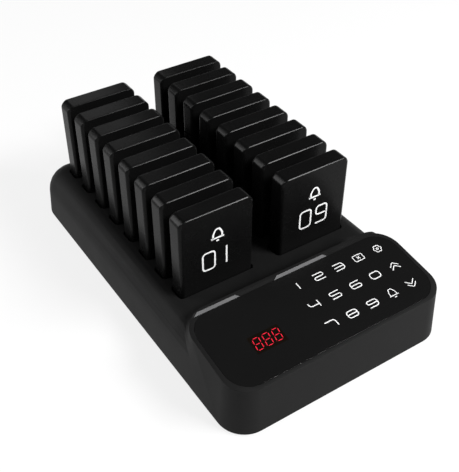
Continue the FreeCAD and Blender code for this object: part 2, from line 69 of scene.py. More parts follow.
SMOOTH_BELOW = math.radians(28)  # edges that turn less than this are shaded as one surface
WELD = 0.001 * MM                # points of a node that lie nearer than this are made one
AXLE = 0.001 * MM                # radius of the ring that a profile is turned round
POLE = 0.01 * MM                 # points of a turned piece that lie nearer than this are made one

Point = tuple[float, float]
Place = tuple[float, float, float]
Line = tuple[Sequence[Point], bool]


# ---------------------------------------------------------------- node helpers
def linear(hex_colour: str) -> tuple[float, float, float, float]:
    """Linear RGBA of an sRGB colour.

    Args:
        hex_colour: the colour as #rrggbb.

    Returns:
        Its linear red, green, blue and an alpha of 1.
    """
    parts = [int(hex_colour[i:i + 2], 16) / 255 for i in (1, 3, 5)]
    red, green, blue = (c / 12.92 if c <= 0.04045 else ((c + 0.055) / 1.055) ** 2.4 for c in parts)
    return red, green, blue, 1.0


def add_node(tree: NodeTree, kind: str, settings: dict[str, Any] | None = None,
             values: dict[Any, Any] | None = None, links: dict[Any, NodeSocket] | None = None) -> Node:
    """Add a node with its settings, socket values and links.

    Args:
        tree: the tree that gets the node.
        kind: the node's type name.
        settings: attributes of the node.
        values: default values by socket name or number.
        links: sockets to link from, by socket name or number.

    Returns:
        The new node.
    """
    node = tree.nodes.new(kind)
    for key, value in (settings or {}).items():
        setattr(node, key, value)
    for key, value in (values or {}).items():
        node.inputs[key].default_value = value
    for key, source in (links or {}).items():
        tree.links.new(source, node.inputs[key])
    return node


def new_material(name: str) -> tuple[Material, NodeTree, Node]:
    """Start a node material.

    Args:
        name: the material's name.

    Returns:
        The material, its tree and its output node.
    """
    material = bpy.data.materials.new(name)
    material.use_nodes = True
    tree = material.node_tree
    tree.nodes.clear()
    return material, tree, tree.nodes.new("ShaderNodeOutputMaterial")


# ---------------------------------------------------------------- finishes
@dataclass(frozen=True)
class Finish:
    """A surface whose colour and gloss drift a little, over a fine grain.

    The grain is in millimetres and drawn no finer than shows at arm's length.
    """

    name: str
    colour: str
    drift: str
    roughness: float
    roughness_drift: float = 0.05
    specular: float = 0.5
    metallic: float = 0.0
    grain_mm: float = 0.6
    grain_depth_mm: float = 0.01
    drift_mm: float = 18.0

    def material(self) -> Material:
        """Build the material."""
        material, tree, output = new_material(self.name)
        place = add_node(tree, "ShaderNodeTexCoord").outputs["Object"]
        wide = add_node(tree, "ShaderNodeTexNoise", values={"Scale": 1 / (self.drift_mm * MM), "Detail": 3.0},
                        links={"Vector": place})
        fine = add_node(tree, "ShaderNodeTexNoise", values={"Scale": 1 / (self.grain_mm * MM), "Detail": 2.0},
                        links={"Vector": place})
        tint = add_node(tree, "ShaderNodeMix", {"data_type": "RGBA"},
                        {6: linear(self.colour), 7: linear(self.drift)}, {0: wide.outputs[0]})
        gloss = add_node(tree, "ShaderNodeMapRange",
                         values={"To Min": self.roughness - self.roughness_drift,
                                 "To Max": self.roughness + self.roughness_drift},
                         links={"Value": wide.outputs[0]})
        bump = add_node(tree, "ShaderNodeBump", values={"Distance": self.grain_depth_mm * MM},
                        links={"Height": fine.outputs[0]})
        shader = add_node(tree, "ShaderNodeBsdfPrincipled",
                          values={"Metallic": self.metallic, "Specular IOR Level": self.specular},
                          links={"Base Color": tint.outputs[2], "Roughness": gloss.outputs[0],
                                 "Normal": bump.outputs[0]})
        tree.links.new(shader.outputs[0], output.inputs[0])
        return material


@dataclass(frozen=True)
class Lit:
    """A lit lamp behind smoked plastic, whose colour clouds between two tones."""

    name: str
    colour: str
    deep: str
    strength: float
    spread_mm: float = 2.5
    roughness: float = 0.4

    def material(self) -> Material:
        """Build the material."""
        material, tree, output = new_material(self.name)
        place = add_node(tree, "ShaderNodeTexCoord").outputs["Object"]
        cloud = add_node(tree, "ShaderNodeTexNoise", values={"Scale": 1 / (self.spread_mm * MM)},
                         links={"Vector": place})
        tint = add_node(tree, "ShaderNodeMix", {"data_type": "RGBA"},
                        {6: linear(self.colour), 7: linear(self.deep)}, {0: cloud.outputs[0]})
        shader = add_node(tree, "ShaderNodeBsdfPrincipled",
                          values={"Roughness": self.roughness, "Emission Strength": self.strength},
                          links={"Base Color": tint.outputs[2], "Emission Color": tint.outputs[2]})
        tree.links.new(shader.outputs[0], output.inputs[0])
        return material


# Injection-moulded ABS off a spark-eroded mould: near black, with a soft sheen that breaks up finely.
SPARKED_ABS = Finish("black ABS, spark-eroded", "#0c0c0c", "#0f0f0f", 0.58, specular=0.11)
# The pagers' ABS comes off a finer mould, so their sheen is tighter.
SATIN_ABS = Finish("black ABS, satin", "#070707", "#0a0a0a", 0.27, specular=0.08, grain_mm=0.45,
                   grain_depth_mm=0.006)
# The cover underneath is left as the mould gives it, flat and dull.
MATT_ABS = Finish("black ABS, matt", "#161617", "#1a1a1b", 0.62, specular=0.2, grain_depth_mm=0.02)
# Acrylic printed black on its back and polished: deep black under a clear, even gloss.
PRINTED_ACRYLIC = Finish("black acrylic, back-printed", "#0c0c0c", "#0d0d0d", 0.16, 0.02, specular=0.24,
                         grain_mm=3.0, grain_depth_mm=0.0003, drift_mm=40.0)
# Painted highlight: the two strips on the lip's slope are a clean dark grey, lighter than the black round
# them, standing for the light that the slope reflects there.
LIP_HIGHLIGHT_PAINT = Finish("painted highlight, lip strips", "#444445", "#4b4b4c", 0.3, specular=0.3, grain_mm=0.8,
                    drift_mm=6.0)
# The blind strip that the two painted highlight strips sit in is as black as the panel and a little less
# polished.
BLIND_STRIP = Finish("black acrylic, blind strip", "#0c0c0c", "#0e0e0e", 0.2, 0.02, specular=0.2,
                     grain_mm=3.0, grain_depth_mm=0.0003)
# The display's smoked window lies darker than the print round it.
SMOKED_WINDOW = Finish("smoked acrylic window", "#0a0705", "#0c0906", 0.16, 0.02, specular=0.2,
                       grain_mm=3.0, grain_depth_mm=0.0003)
# Silk-screened ink: pale, thin and quite matt.
SCREEN_INK = Finish("screen ink, pale grey", "#c4c4c4", "#b8b8b8", 0.6, specular=0.2, drift_mm=1.5)
# Red lamps behind smoked acrylic read as crimson, not as bright red.
LIT_SEGMENT = Lit("display segment, lit", "#bc0e28", "#94081e", 0.55)
# Die-cut rubber drinks the light and greys a little in patches.
RUBBER = Finish("rubber, die-cut", "#1c1c1c", "#242424", 0.85, specular=0.3, grain_depth_mm=0.03)
# Zinc plate over steel: a cool grey with a worn, uneven gloss.
ZINC = Finish("steel, zinc-plated", "#b4b6b8", "#9a9da0", 0.32, 0.1, metallic=1.0, drift_mm=2.0)
# Tinned can: brighter and smoother than the screws.
TIN = Finish("steel, tinned", "#c8c6be", "#b8b6ae", 0.28, metallic=1.0, drift_mm=6.0)
# Gold flash over brass, on the charging pins and the pagers' contacts: warm and smooth.
GOLD = Finish("brass, gold-plated", "#d8ae5a", "#c89c48", 0.22, metallic=1.0, drift_mm=3.0)
# Glass-fibre laminate under green solder mask.
SOLDER_MASK = Finish("laminate, solder mask", "#0d3d20", "#11482a", 0.3, drift_mm=5.0)
# Moulded nylon of the power socket.
NYLON = Finish("black nylon, moulded", "#121212", "#181818", 0.5, specular=0.35)


@lru_cache(maxsize=None)
def made(finish: Finish | Lit) -> Material:
    """The one material of a finish."""
    return finish.material()


# ---------------------------------------------------------------- mesh helpers
def into_scene(name: str, data: ID) -> Object:
    """Put an object of some data into the scene."""
    item = bpy.data.objects.new(name, data)
    bpy.context.scene.collection.objects.link(item)
    return item


def opened(*meshes: Mesh) -> bmesh.types.BMesh:
    """Meshes joined and open to editing; the meshes themselves are removed."""
    shape = bmesh.new()
    for mesh in meshes:
        shape.from_mesh(mesh)
        bpy.data.meshes.remove(mesh)
    return shape


def to_mesh(shape: bmesh.types.BMesh, name: str, outwards: bool = False) -> Mesh:
    """Plain mesh of an edited shape, which is freed.

    Args:
        shape: the edited shape.
        name: the mesh's name.
        outwards: whether its faces are first turned outwards.

    Returns:
        The mesh.
    """
    if outwards:
        bmesh.ops.recalc_face_normals(shape, faces=shape.faces)
    mesh = bpy.data.meshes.new(name)
    shape.to_mesh(mesh)
    shape.free()
    return mesh


def applied(source: Object) -> Mesh:
    """Plain mesh of an object with its modifiers; the object is removed."""
    seen = source.evaluated_get(bpy.context.evaluated_depsgraph_get())
    mesh = bpy.data.meshes.new_from_object(seen)
    bpy.data.objects.remove(source)
    return mesh


def finished(mesh: Mesh, name: str, finish: Finish | Lit, body: str, *stands_for: str,
             slot: str | None = None) -> Object:
    """Put a finished mesh into the scene, shaded smooth, riding on its body.

    Args:
        mesh: the mesh, in place in the frame.
        name: the piece's name.
        finish: what it is dressed in.
        body: the body that it moves with.
        stands_for: nodes that it is shown instead of.
        slot: the record's material slot, if it has one; not used.

    Returns:
        The piece.
    """
    mesh.materials.clear()
    mesh.materials.append(made(finish))
    mesh.shade_smooth()
    mesh.set_sharp_from_angle(angle=SMOOTH_BELOW)
    piece = into_scene(name, mesh)
    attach(piece, body)
    if stands_for:
        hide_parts(*stands_for)
    LOG.info("%s: %d faces on %s", name, len(mesh.polygons), body)
    return piece


def merged_copy(node: str) -> Mesh:
    """Copy of a node's mesh whose loose triangles are joined, so that it can be shaded smooth.

    Args:
        node: the node's name.

    Returns:
        The new mesh.
    """
    shape = bmesh.new()
    shape.from_mesh(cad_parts[node].data)
    bmesh.ops.remove_doubles(shape, verts=shape.verts, dist=WELD)
    mesh = to_mesh(shape, node + "_smooth")
    normals = mesh.attributes.get("custom_normal")
    if normals:
        mesh.attributes.remove(normals)
    return mesh


def solids(node: str) -> list[tuple[Vector, Vector]]:
    """Lowest and highest corner of each separate solid of a node, in the order of their places."""
    shape = opened(merged_copy(node))
    left, boxes = set(shape.verts), []
    while left:
        edge_on = [left.pop()]
        found = []
        while edge_on:
            vert = edge_on.pop()
            found.append(vert.co.copy())
            fresh = {edge.other_vert(vert) for edge in vert.link_edges} & left
            left -= fresh
            edge_on += fresh
        boxes.append((Vector(map(min, zip(*found))), Vector(map(max, zip(*found)))))
    shape.free()
    return sorted(boxes, key=lambda box: tuple(box[0]))


def block(low: Vector, high: Vector) -> Mesh:
    """Plain block between two corners, for cutting and for flat contacts."""
    shape = bmesh.new()
    place = Matrix.Translation((low + high) / 2) @ Matrix.Diagonal((*(high - low), 1.0))
    bmesh.ops.create_cube(shape, size=1.0, matrix=place)
    return to_mesh(shape, "block")


def skinned(loops: Sequence[Sequence[Place]], name: str) -> Mesh:
    """Closed mesh through loops of points that lie one behind the other.

    Args:
        loops: the loops, each with as many points as the others.
        name: the mesh's name.

    Returns:
        The walls and both ends, facing outwards.
    """
    shape = bmesh.new()
    rings = [[shape.verts.new(point) for point in loop] for loop in loops]
    for one, two in zip(rings, rings[1:]):
        for i in range(len(one)):
            j = (i + 1) % len(one)
            shape.faces.new((one[i], one[j], two[j], two[i]))
    shape.faces.new(rings[0])
    shape.faces.new(rings[-1])
    return to_mesh(shape, name, outwards=True)


def carved(mesh: Mesh, tools: Sequence[Mesh]) -> Mesh:
    """Cut tools out of a closed mesh.

    Args:
        mesh: the mesh to cut.
        tools: closed meshes that don't touch each other; they are removed.

    Returns:
        The cut mesh.
    """
    cutter = into_scene("cutter", to_mesh(opened(*tools), "cutter"))
    target = into_scene("target", mesh)
    cut = target.modifiers.new("cut", "BOOLEAN")
    cut.operation = "DIFFERENCE"
    cut.solver = "EXACT"
    cut.object = cutter
    result = applied(target)
    bpy.data.objects.remove(cutter)
    return result


QUARTERS = ((1, 1), (-1, 1), (-1, -1), (1, -1))    # sides that the corners of an outline lie on


def rounded_outline(width: float, height: float, radius: float, steps: int) -> list[Point]:
    """Outline of a rounded rectangle about the origin, counter-clockwise.

    Args:
        width: its size along the first axis.
        height: its size along the second.
        radius: its corner radius.
        steps: segments in each corner.

    Returns:
        Its points.
    """
    points = []
    for quarter, (side, end) in enumerate(QUARTERS):
        for step in range(steps + 1):
            angle = math.pi / 2 * (quarter + step / steps)
            points.append((side * (width / 2 - radius) + radius * math.cos(angle),
                           end * (height / 2 - radius) + radius * math.sin(angle)))
    return points


# ---------------------------------------------------------------- geometry-node trees
def start_tree(name: str, inputs: dict[str, tuple[str, Any]]) -> tuple[NodeTree, Node]:
    """Start a geometry-node tree with a geometry input and named inputs.

    Args:
        name: the tree's name.
        inputs: socket type and default of each named input.

    Returns:
        The tree and its input node.
    """
    tree = bpy.data.node_groups.new(name, "GeometryNodeTree")
    tree.interface.new_socket("Geometry", in_out="INPUT", socket_type="NodeSocketGeometry")
    for label, (kind, default) in inputs.items():
        socket = tree.interface.new_socket(label, in_out="INPUT", socket_type=kind)
        if default is not None:
            socket.default_value = default
    tree.interface.new_socket("Geometry", in_out="OUTPUT", socket_type="NodeSocketGeometry")
    return tree, tree.nodes.new("NodeGroupInput")


def end_tree(tree: NodeTree, geometry: NodeSocket, material: NodeSocket) -> NodeTree:
    """Close a tree: real geometry, with its material."""
    real = add_node(tree, "GeometryNodeRealizeInstances", links={0: geometry})
    dressed = add_node(tree, "GeometryNodeSetMaterial",
                       links={"Geometry": real.outputs[0], "Material": material})
    output = tree.nodes.new("NodeGroupOutput")
    tree.links.new(dressed.outputs[0], output.inputs[0])
    return tree


def lines_for_tree(lines: Sequence[Line]) -> Object:
    """Lines drawn flat in the scene, for a tree to start from."""
    curve = bpy.data.curves.new("lines", "CURVE")
    curve.dimensions = "3D"
    for points, closed in lines:
        spline = curve.splines.new("POLY")
        spline.points.add(len(points) - 1)
        for target, (x, y) in zip(spline.points, points):
            target.co = (x, y, 0.0, 1.0)
        spline.use_cyclic_u = closed
    return into_scene("lines", curve)


def points_for_tree(places: Sequence[Place | Vector]) -> Object:
    """Loose points in the scene, for a tree to lay pieces on."""
    cloud = bpy.data.meshes.new("places")
    cloud.from_pydata([tuple(place) for place in places], [], [])
    return into_scene("places", cloud)


def grown(source: Object, tree: NodeTree, values: dict[str, Any], place: Matrix) -> Mesh:
    """Run a tree on an object and keep the plain mesh that comes out.

    Args:
        source: the object that the tree starts from; it is removed.
        tree: the tree.
        values: its named inputs.
        place: carries the mesh to where it belongs.

    Returns:
        The mesh, in place.
    """
    modifier = source.modifiers.new(tree.name, "NODES")
    modifier.node_group = tree
    for item in tree.interface.items_tree:
        if item.in_out == "INPUT" and item.name in values:
            modifier[item.identifier] = values[item.name]
    mesh = applied(source)
    mesh.transform(place)
    return mesh


@lru_cache(maxsize=None)
def stroke_tree() -> NodeTree:
    """Tree that turns drawn lines into flat printed strokes with rounded bends."""
    tree, given = start_tree("printed strokes", {
        "Stroke Width": ("NodeSocketFloat", 0.0), "Ink Thickness": ("NodeSocketFloat", 0.0),
        "Bend Radius": ("NodeSocketFloat", 0.0), "Ink": ("NodeSocketMaterial", None)})
    bent = add_node(tree, "GeometryNodeFilletCurve", {"mode": "POLY"},
                    {"Count": 5, "Limit Radius": True},
                    {"Curve": given.outputs["Geometry"], "Radius": given.outputs["Bend Radius"]})
    level = add_node(tree, "GeometryNodeSetCurveNormal", {"mode": "Z_UP"}, links={"Curve": bent.outputs[0]})
    nib = add_node(tree, "GeometryNodeCurvePrimitiveQuadrilateral",
                   links={"Width": given.outputs["Stroke Width"], "Height": given.outputs["Ink Thickness"]})
    ribbon = add_node(tree, "GeometryNodeCurveToMesh", values={"Fill Caps": True},
                      links={"Curve": level.outputs[0], "Profile Curve": nib.outputs[0]})
    return end_tree(tree, ribbon.outputs[0], given.outputs["Ink"])


@lru_cache(maxsize=None)
def lathe_tree() -> NodeTree:
    """Tree that turns a profile about its axis and lays the piece on every place."""
    tree, given = start_tree("turned pieces", {
        "Places": ("NodeSocketObject", None), "Sides": ("NodeSocketInt", 48),
        "Finish": ("NodeSocketMaterial", None)})
    axle = add_node(tree, "GeometryNodeCurvePrimitiveCircle", values={"Radius": AXLE},
                    links={"Resolution": given.outputs["Sides"]})
    lathe = add_node(tree, "GeometryNodeCurveToMesh",
                     links={"Curve": axle.outputs[0], "Profile Curve": given.outputs["Geometry"]})
    piece = add_node(tree, "GeometryNodeMergeByDistance", values={"Distance": POLE},
                     links={"Geometry": lathe.outputs[0]})
    spots = add_node(tree, "GeometryNodeObjectInfo", links={"Object": given.outputs["Places"]})
    laid = add_node(tree, "GeometryNodeInstanceOnPoints",
                    links={"Points": spots.outputs["Geometry"], "Instance": piece.outputs[0]})
    return end_tree(tree, laid.outputs[0], given.outputs["Finish"])


@lru_cache(maxsize=None)
def segment_tree() -> NodeTree:
    """Tree that puts one flat six-sided lamp segment on every point, turned by the point's own angle."""
    tree, given = start_tree("display segments", {
        "Length": ("NodeSocketFloat", 0.0), "Width": ("NodeSocketFloat", 0.0),
        "Window": ("NodeSocketMaterial", None)})
    disc = add_node(tree, "GeometryNodeMeshCircle", {"fill_type": "NGON"}, {"Vertices": 6, "Radius": 0.5})
    size = add_node(tree, "ShaderNodeCombineXYZ", values={"Z": 1.0},
                    links={"X": given.outputs["Length"], "Y": given.outputs["Width"]})
    shaped = add_node(tree, "GeometryNodeTransform",
                      links={"Geometry": disc.outputs[0], "Scale": size.outputs[0]})
    angle = add_node(tree, "GeometryNodeInputNamedAttribute", {"data_type": "FLOAT"}, {"Name": "turn"})
    turn = add_node(tree, "ShaderNodeCombineXYZ", links={"Z": angle.outputs[0]})
    spin = add_node(tree, "FunctionNodeEulerToRotation", links={0: turn.outputs[0]})
    laid = add_node(tree, "GeometryNodeInstanceOnPoints",
                    links={"Points": given.outputs["Geometry"], "Instance": shaped.outputs[0],
                           "Rotation": spin.outputs[0]})
    return end_tree(tree, laid.outputs[0], given.outputs["Window"])


# ---------------------------------------------------------------- printed marks
class Icon(Enum):
    """Marks on the keypad that aren't digits."""

    CANCEL = "cancel"
    SETTINGS = "settings"
    UP = "up"
    DOWN = "down"
    CALL = "call"


# Each digit on a unit square: its lines, and whether a line is closed.
DIGIT_LINES: dict[str, list[Line]] = {
    "0": [(((0, 0), (1, 0), (1, 1), (0, 1)), True)],
    "1": [(((0.5, 0), (0.5, 1)), False)],
    "2": [(((0, 1), (1, 1), (1, 0.5), (0, 0.5), (0, 0), (1, 0)), False)],
    "3": [(((0, 1), (1, 1), (1, 0), (0, 0)), False), (((0, 0.5), (1, 0.5)), False)],
    "4": [(((0, 1), (0, 0.4), (1, 0.4)), False), (((0.93, 1), (0.93, 0)), False)],
    "5": [(((1, 1), (0, 1), (0, 0.5), (1, 0.5), (1, 0), (0, 0)), False)],
    "6": [(((1, 1), (0, 1), (0, 0), (1, 0), (1, 0.5), (0, 0.5)), False)],
    "7": [(((0, 1), (1, 1), (1, 0)), False)],
    "8": [(((0, 0), (1, 0), (1, 1), (0, 1)), True), (((0, 0.5), (1, 0.5)), False)],
    "9": [(((0, 0), (1, 0), (1, 1), (0, 1), (0, 0.5), (1, 0.5)), False)],
}
CROSS: list[Line] = [(((0, 0), (1, 1)), False), (((0, 1), (1, 0)), False)]
CHEVRONS: list[Line] = [(((0, 0), (0.5, 0.55), (1, 0)), False), (((0, 0.45), (0.5, 1), (1, 0.45)), False)]

# Sizes of the icons, as shares of a digit's height. The chevrons' first is a share of its width.
CROSS_SIZE = 0.45
GEAR_RADIUS = 0.55
GEAR_LOBES = 6
GEAR_LOBE = 0.07
GEAR_HOLE = 0.14
BELL_SIZE = 1.4
CHEVRONS_SIZE = (0.92, 1.15)


def placed(lines: Sequence[Line], middle: Point, width: float, height: float) -> list[Line]:
    """Lines of a unit square, sized and put round a middle point."""
    x, y = middle
    return [([(x + (u - 0.5) * width, y + (v - 0.5) * height) for u, v in points], closed)
            for points, closed in lines]


def ring(middle: Point, radius: float, lobes: int = 0, lobe: float = 0.0) -> Line:
    """A circle, or with lobes the outline of a soft gear wheel."""
    count = 48
    points = []
    for i in range(count):
        angle = 2 * math.pi * i / count
        reach = radius + lobe * math.cos(lobes * angle)
        points.append((middle[0] + reach * math.cos(angle), middle[1] + reach * math.sin(angle)))
    return points, True


def bell(middle: Point, size: float) -> list[Line]:
    """A plain bell: dome, rim and clapper."""
    dome = ((0.15, 0.25), (0.15, 0.6), (0.35, 1), (0.65, 1), (0.85, 0.6), (0.85, 0.25))
    lines = [(dome, False), (((0, 0.25), (1, 0.25)), False), (((0.4, 0.02), (0.6, 0.02)), False)]
    return placed(lines, middle, size, size)


def icon_lines(icon: Icon, middle: Point, width: float, height: float) -> list[Line]:
    """Lines of a keypad icon.

    Args:
        icon: which one.
        middle: its middle.
        width: the width of a digit.
        height: the height of a digit.

    Returns:
        Its lines.
    """
    if icon is Icon.CANCEL:
        side = CROSS_SIZE * height
        return placed(DIGIT_LINES["0"], middle, width, height) + placed(CROSS, middle, side, side)
    if icon is Icon.SETTINGS:
        wheel = ring(middle, GEAR_RADIUS * height, GEAR_LOBES, GEAR_LOBE * height)
        return [wheel, ring(middle, GEAR_HOLE * height)]
    if icon is Icon.CALL:
        return bell(middle, BELL_SIZE * height)
    wide, tall = CHEVRONS_SIZE
    way = 1 if icon is Icon.UP else -1
    return placed(CHEVRONS, middle, wide * width, way * tall * height)


def drawn(lines: Sequence[Line], stroke: float, bend: float, place: Matrix) -> Mesh:
    """Print lines as flat strokes.

    Args:
        lines: the lines, in metres, in the plane of the print.
        stroke: their width.
        bend: the radius of their bends.
        place: carries the plane of the print to its face.

    Returns:
        The print's mesh.
    """
    values = {"Stroke Width": stroke, "Ink Thickness": 2 * PRINT_LIFT, "Bend Radius": bend,
              "Ink": made(SCREEN_INK)}
    return grown(lines_for_tree(lines), stroke_tree(), values, place)


# ---------------------------------------------------------------- the object's own pieces
@dataclass
class Housing:
    """The black moulding that holds everything. Sizes in metres."""

    body: str = "base"
    rim_edge: float = 0.45 * MM
    rim_steps: int = 3
    flat: float = math.radians(0.4)       # faces that turn less than this are made one
    off_plane: float = 0.01 * MM          # the most that the rim lies off the panel's plane
    level: float = 0.999                  # least cosine between the panel and the top's faces
    steep: float = 0.6                    # and the most between the panel and a wall
    console_middle: float = 33.0 * MM     # back from the panel's front edge

    def shell(self) -> Mesh:
        """The moulding with a small rounding on the console's outer top edge."""
        shape = opened(merged_copy("upper_housing"))
        bmesh.ops.dissolve_limit(shape, angle_limit=self.flat, verts=shape.verts, edges=shape.edges)
        shape.normal_update()
        plane = Keypad().plane()
        normal = plane.to_3x3() @ Vector((0, 0, 1))
        rim = []
        for edge in shape.edges:
            if len(edge.link_faces) != 2:
                continue
            ends = [(vert.co - plane.translation).dot(normal) for vert in edge.verts]
            tops = [face for face in edge.link_faces if face.normal.dot(normal) > self.level]
            walls = [face for face in edge.link_faces if face.normal.dot(normal) < self.steep]
            middle = (edge.verts[0].co + edge.verts[1].co) / 2
            away = Vector((middle.x, middle.y - plane.translation.y - self.console_middle, 0))
            if max(map(abs, ends)) < self.off_plane and tops and walls and walls[0].normal.dot(away) > 0:
                rim.append(edge)
        bmesh.ops.bevel(shape, geom=rim, offset=self.rim_edge, segments=self.rim_steps, profile=0.5,
                        affect="EDGES", clamp_overlap=True)
        LOG.info("housing rim: %d edges rounded", len(rim))
        return to_mesh(shape, "housing")

    def build(self) -> None:
        """Shade the moulding as one smooth skin."""
        finished(self.shell(), "housing_shell", SPARKED_ABS, self.body, "upper_housing",
                 slot="housing_plastic")


@dataclass
class Keypad:
    """Sloping panel with its printed keys and its lit display. Sizes in metres."""

    body: str = "base"
    digit_width: float = 7.9 * MM
    digit_height: float = 5.3 * MM
    stroke: float = 0.72 * MM
    bend: float = 1.9 * MM
    pitch_x: float = 17.4 * MM
    pitch_y: float = 18.3 * MM
    first_key: Point = (-1.0 * MM, 51.0 * MM)      # from the middle of the panel's front edge
    display_middle: Point = (-44.0 * MM, 25.5 * MM)
    window: Point = (23.6 * MM, 13.9 * MM)
    window_steps: int = 4
    numeral_height: float = 9.1 * MM
    numeral_width: float = 4.7 * MM
    numeral_pitch: float = 7.4 * MM
    segment_share: float = 0.86                    # a segment's length over half a numeral's height
    segment_width: float = 0.65 * MM
    slant_deg: float = 8.0
    edge: float = 0.3 * MM                         # of the panel, and the window's corners
    icon_stroke: float = 0.6 * MM
    lip: Point = (63.2 * MM, 1.6 * MM)             # its foot, up the slope, and its height
    strip_ends: Point = (-76.0 * MM, 76.0 * MM)
    # painted highlight: where the two lighter strips that stand for the slope's reflections begin and end
    highlight_strips: tuple[Point, ...] = ((-75.5 * MM, -40.5 * MM), (-12.5 * MM, 32.5 * MM))
    strip_taper: float = 3.0 * MM
    strip_proud: float = 0.12 * MM

    def plane(self) -> Matrix:
        """Place of the panel's face.

        Returns:
            The place: origin at the middle of the front edge, x to the right and y up the slope.
        """
        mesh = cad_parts["touch_panel"].data
        tops = [p for p in mesh.polygons if p.normal.z > 0]
        normal = max(tops, key=lambda p: p.area).normal
        front = min(mesh.vertices, key=lambda v: v.co.y).co
        tilt = math.atan2(-normal.y, normal.z)
        return Matrix.Translation((0.0, front.y, front.z)) @ Matrix.Rotation(tilt, 4, "X")

    def build_panel(self) -> None:
        """Panel with a polished edge."""
        panel = finished(merged_copy("touch_panel"), "keypad_panel", PRINTED_ACRYLIC, self.body,
                         "touch_panel", slot="keypad_panel")
        bevel = panel.modifiers.new("polished edge", "BEVEL")
        bevel.width = self.edge
        bevel.segments = 2
        bevel.limit_method = "ANGLE"
        bevel.harden_normals = True

    def build_keys(self, plane: Matrix) -> None:
        """Printed digits and icons."""
        rows = (("1", "2", "3", Icon.CANCEL, Icon.SETTINGS), ("4", "5", "6", "0", Icon.UP),
                ("7", "8", "9", Icon.CALL, Icon.DOWN))
        lines: list[Line] = []
        icons: list[Line] = []
        for row, keys in enumerate(rows):
            for column, key in enumerate(keys):
                middle = (self.first_key[0] + column * self.pitch_x, self.first_key[1] - row * self.pitch_y)
                if isinstance(key, Icon):
                    icons += icon_lines(key, middle, self.digit_width, self.digit_height)
                else:
                    lines += placed(DIGIT_LINES[key], middle, self.digit_width, self.digit_height)
        lift = plane @ Matrix.Translation((0, 0, PRINT_LIFT))
        finished(drawn(lines, self.stroke, self.bend, lift), "keypad_digits", SCREEN_INK, self.body)
        finished(drawn(icons, self.icon_stroke, self.bend / 2, lift), "keypad_icons", SCREEN_INK, self.body)

    def strip(self, left: float, right: float, proud: float) -> Mesh:
        """Thin strip on the lip's slope, narrower at its top.

        Args:
            left: where its foot begins.
            right: where its foot ends.
            proud: how far it stands out of the slope.

        Returns:
            The strip, in the panel's own plane.
        """
        foot, height = self.lip
        section = ((foot - proud, proud, 0.0), (foot + height - proud, height + proud, self.strip_taper),
                   (foot + height + proud, height - proud, self.strip_taper), (foot + proud, -proud, 0.0))
        return skinned([[(end + side * trim, y, z) for y, z, trim in section]
                        for end, side in ((left, 1), (right, -1))], "strip")

    def build_strips(self, plane: Matrix) -> None:
        """Blind strip on the lip's slope, with its two strips of painted highlight."""
        for name, finish, ends, proud in (
                ("lip_blind_strip", BLIND_STRIP, (self.strip_ends,), self.strip_proud / 2),
                # painted highlight: lighter grey strips in place of the light that the slope reflects
                ("lip_light_bars", LIP_HIGHLIGHT_PAINT, self.highlight_strips, self.strip_proud)):
            mesh = to_mesh(opened(*(self.strip(left, right, proud) for left, right in ends)), name)
            mesh.transform(plane)
            finished(mesh, name, finish, self.body)

    def build_display(self, plane: Matrix) -> None:
        """Smoked window, with the three numerals that shine through it laid on its face."""
        x, y = self.display_middle
        shape = bmesh.new()
        outline = rounded_outline(*self.window, self.edge, self.window_steps)
        shape.faces.new([shape.verts.new((x + u, y + v, PRINT_LIFT)) for u, v in outline])
        mesh = to_mesh(shape, "display_window")
        mesh.transform(plane)
        finished(mesh, "display_window", SMOKED_WINDOW, self.body)
        half_w, half_h = self.numeral_width / 2, self.numeral_height / 2
        upright = math.pi / 2 - math.radians(self.slant_deg)
        segments = [(0, half_h, 0), (0, 0, 0), (0, -half_h, 0)]
        segments += [(side * half_w, end * half_h / 2, upright) for side in (-1, 1) for end in (-1, 1)]
        lean = math.tan(math.radians(self.slant_deg))
        points, turns = [], []
        for numeral in (-1, 0, 1):
            for u, v, turn in segments:
                points.append((x + numeral * self.numeral_pitch + u + lean * v, y + v, 2 * PRINT_LIFT))
                turns.append(turn)
        source = points_for_tree(points)
        source.data.attributes.new("turn", "FLOAT", "POINT").data.foreach_set("value", turns)
        values = {"Length": self.segment_share * half_h, "Width": self.segment_width,
                  "Window": made(LIT_SEGMENT)}
        finished(grown(source, segment_tree(), values, plane), "display_numerals", LIT_SEGMENT, self.body)

    def build(self) -> None:
        """Build the panel, its marks and its display."""
        plane = self.plane()
        self.build_panel()
        self.build_keys(plane)
        self.build_strips(plane)
        self.build_display(plane)


